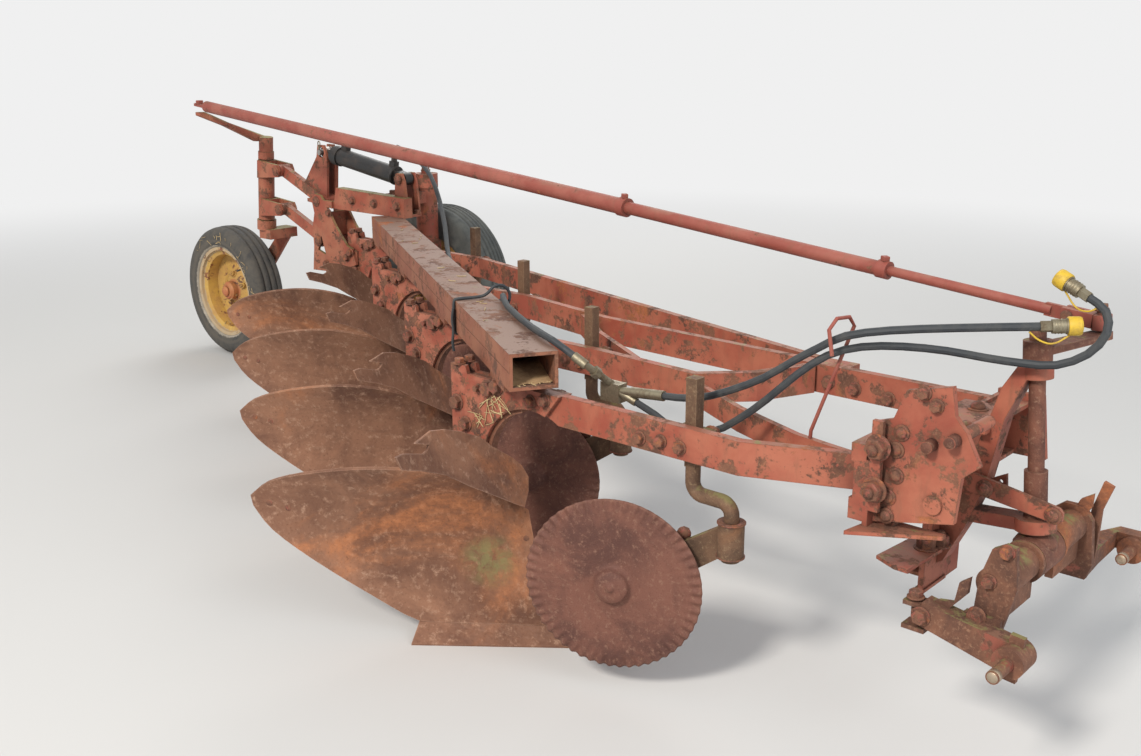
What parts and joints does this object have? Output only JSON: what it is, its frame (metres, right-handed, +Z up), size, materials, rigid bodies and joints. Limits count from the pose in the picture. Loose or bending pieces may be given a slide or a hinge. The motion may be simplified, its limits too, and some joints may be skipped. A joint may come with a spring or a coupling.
{
  "type": "semi-mounted mouldboard plough",
  "caption": "Right-handed semi-mounted mouldboard plough: bottoms staggered on beams under a diagonal box beam, disc coulters, pivoting hitch post, steered tail wheel, land wheel.",
  "frame": {"origin": "centre of the bounding box's underside, on the ground under the plough", "axes": "+X is the direction of travel, towards the hitch; +Y is the unploughed land side; +Z is up"},
  "size_m": [4.8547, 2.1666, 1.2818],
  "materials": {
    "red_paint": "faded red paint, chalky, with rust spots",
    "beam_paint": "red paint worn to brown on top",
    "ploughed_steel": "brown and orange rust",
    "weathered_steel": "brown rust with green growth",
    "rim_paint": "yellow paint with rust",
    "tyre": "worn grey rubber",
    "cylinder_paint": "black paint",
    "rod_chrome": "plated, dull",
    "hose": "weathered grey-black hydraulic hose",
    "fittings": "plated steel, dull, with rust"
  },
  "bodies": {
    "frame": {"main_beam": "beam_paint", "beam_1": "red_paint", "beam_2": "red_paint", "beam_3": "red_paint", "beam_4": "red_paint", "braces": "red_paint", "cheeks": "red_paint", "legs": "ploughed_steel", "mouldboards": "ploughed_steel", "shares": "ploughed_steel", "landsides": "ploughed_steel", "trash_boards": "ploughed_steel", "coulter_posts": "weathered_steel", "headstock": "red_paint", "mast": "red_paint", "lock_strap": "red_paint", "tail_frame": "red_paint", "land_leg": "red_paint", "hose_1": "hose", "hose_2": "hose", "hose_3": "hose", "hose_fittings": "fittings", "hose_holder": "red_paint"},
    "hitch_post": {"hitch_post": "weathered_steel"},
    "cross_shaft": {"cross_shaft": "red_paint"},
    "rod_fork": {"rod_fork": "red_paint"},
    "steering_rod": {"steering_rod": "red_paint"},
    "tail_arm_upper": {"tail_arm_upper": "red_paint"},
    "tail_arm_lower": {"tail_arm_lower": "red_paint"},
    "tail_carrier": {"tail_carrier": "red_paint"},
    "tail_spindle": {"tail_spindle": "red_paint"},
    "tail_wheel": {"tail_rim": "rim_paint", "tail_tyre": "tyre"},
    "cylinder_barrel": {"cylinder_barrel": "cylinder_paint"},
    "cylinder_rod": {"cylinder_rod": "rod_chrome"},
    "land_wheel": {"land_rim": "rim_paint", "land_tyre": "tyre"},
    "coulter_yoke_1": {"coulter_yoke_1": "weathered_steel"},
    "coulter_disc_1": {"coulter_disc_1": "ploughed_steel"},
    "coulter_yoke_2": {"coulter_yoke_2": "weathered_steel"},
    "coulter_disc_2": {"coulter_disc_2": "ploughed_steel"},
    "coulter_yoke_3": {"coulter_yoke_3": "weathered_steel"},
    "coulter_disc_3": {"coulter_disc_3": "ploughed_steel"},
    "coulter_yoke_4": {"coulter_yoke_4": "weathered_steel"},
    "coulter_disc_4": {"coulter_disc_4": "ploughed_steel"}
  },
  "joints": [
    {"name": "coulter_swivel_1", "type": "hinge", "parent": "frame", "child": "coulter_yoke_1", "pos_m": [1.748, -0.57145, 0.44], "axis": [0, 0, 1], "range_deg": [-50, 5]},
    {"name": "disc_spin_1", "type": "hinge", "parent": "coulter_yoke_1", "child": "coulter_disc_1", "pos_m": [1.49242, -0.69063, 0.292], "axis": [0.4226, -0.9063, 0], "continuous": true},
    {"name": "coulter_swivel_2", "type": "hinge", "parent": "frame", "child": "coulter_yoke_2", "pos_m": [1.083, -0.16545, 0.44], "axis": [0, 0, 1], "range_deg": [-50, 5]},
    {"name": "disc_spin_2", "type": "hinge", "parent": "coulter_yoke_2", "child": "coulter_disc_2", "pos_m": [0.82742, -0.28463, 0.292], "axis": [0.4226, -0.9063, 0], "continuous": true},
    {"name": "coulter_swivel_3", "type": "hinge", "parent": "frame", "child": "coulter_yoke_3", "pos_m": [0.418, 0.24055, 0.44], "axis": [0, 0, 1], "range_deg": [-50, 5]},
    {"name": "disc_spin_3", "type": "hinge", "parent": "coulter_yoke_3", "child": "coulter_disc_3", "pos_m": [0.16242, 0.12137, 0.292], "axis": [0.4226, -0.9063, 0], "continuous": true},
    {"name": "coulter_swivel_4", "type": "hinge", "parent": "frame", "child": "coulter_yoke_4", "pos_m": [-0.247, 0.64655, 0.44], "axis": [0, 0, 1], "range_deg": [-50, 5]},
    {"name": "disc_spin_4", "type": "hinge", "parent": "coulter_yoke_4", "child": "coulter_disc_4", "pos_m": [-0.50258, 0.52737, 0.292], "axis": [0.4226, -0.9063, 0], "continuous": true},
    {"name": "hitch_swivel", "type": "hinge", "parent": "frame", "child": "hitch_post", "pos_m": [2.317, -0.22425, 0.462], "axis": [-0.0872, 0, 0.9962], "range_deg": [-30, 30]},
    {"name": "hitch_pitch", "type": "hinge", "parent": "hitch_post", "child": "cross_shaft", "pos_m": [2.317, -0.22425, 0.462], "axis": [0, 1, 0], "range_deg": [-15, 10]},
    {"name": "rod_swing", "type": "hinge", "parent": "hitch_post", "child": "rod_fork", "pos_m": [2.33632, -0.02425, 0.95255], "axis": [-0.0872, 0, 0.9962], "range_deg": [-34, 34]},
    {"name": "rod_dip", "type": "hinge", "parent": "rod_fork", "child": "steering_rod", "pos_m": [2.26678, -0.01814, 0.95771], "axis": [-0.0876, -0.9962, 0], "range_deg": [-1, 4]},
    {"name": "tail_lift", "type": "hinge", "parent": "frame", "child": "tail_arm_upper", "pos_m": [-1.31839, 0.61875, 0.843], "axis": [0, 1, 0], "range_deg": [-42, 2]},
    {"name": "tail_lower_arm", "type": "hinge", "parent": "frame", "child": "tail_arm_lower", "pos_m": [-1.31839, 0.61875, 0.663], "axis": [0, 1, 0], "range_deg": [-43, 3]},
    {"name": "tail_carrier_turn", "type": "hinge", "parent": "tail_arm_upper", "child": "tail_carrier", "pos_m": [-1.619, 0.61875, 0.95839], "axis": [0, 1, 0], "range_deg": [-3, 43]},
    {"name": "tail_steer", "type": "hinge", "parent": "tail_carrier", "child": "tail_spindle", "pos_m": [-1.766, 0.61875, 0.86], "axis": [0.1045, 0, 0.9945], "range_deg": [-30, 30]},
    {"name": "tail_wheel_spin", "type": "hinge", "parent": "tail_spindle", "child": "tail_wheel", "pos_m": [-2.101, 0.61875, 0.325], "axis": [0, 1, 0], "continuous": true},
    {"name": "cylinder_swing", "type": "hinge", "parent": "frame", "child": "cylinder_barrel", "pos_m": [-0.781, 0.64875, 0.978], "axis": [0, 1, 0], "range_deg": [-15, 15]},
    {"name": "cylinder_stroke", "type": "slide", "parent": "cylinder_barrel", "child": "cylinder_rod", "axis": [-0.9886, 0, 0.1503], "range_m": [-0.02, 0.18]},
    {"name": "land_wheel_spin", "type": "hinge", "parent": "frame", "child": "land_wheel", "pos_m": [-0.933, 1.00075, 0.46], "axis": [0, 1, 0], "continuous": true}
  ],
  "couplings": [
    {"joint": "rod_swing", "follows": "hitch_swivel", "ratio": -1.0059},
    {"joint": "rod_dip", "follows": "tail_lift", "ratio": -0.073},
    {"joint": "tail_steer", "follows": "hitch_swivel", "ratio": -0.704},
    {"joint": "tail_lower_arm", "follows": "tail_lift", "ratio": 1},
    {"joint": "tail_carrier_turn", "follows": "tail_lift", "ratio": -1},
    {"joint": "cylinder_swing", "follows": "tail_lift", "ratio": 0.145},
    {"joint": "cylinder_stroke", "follows": "tail_lift", "m_per_rad": -0.196}
  ]
}
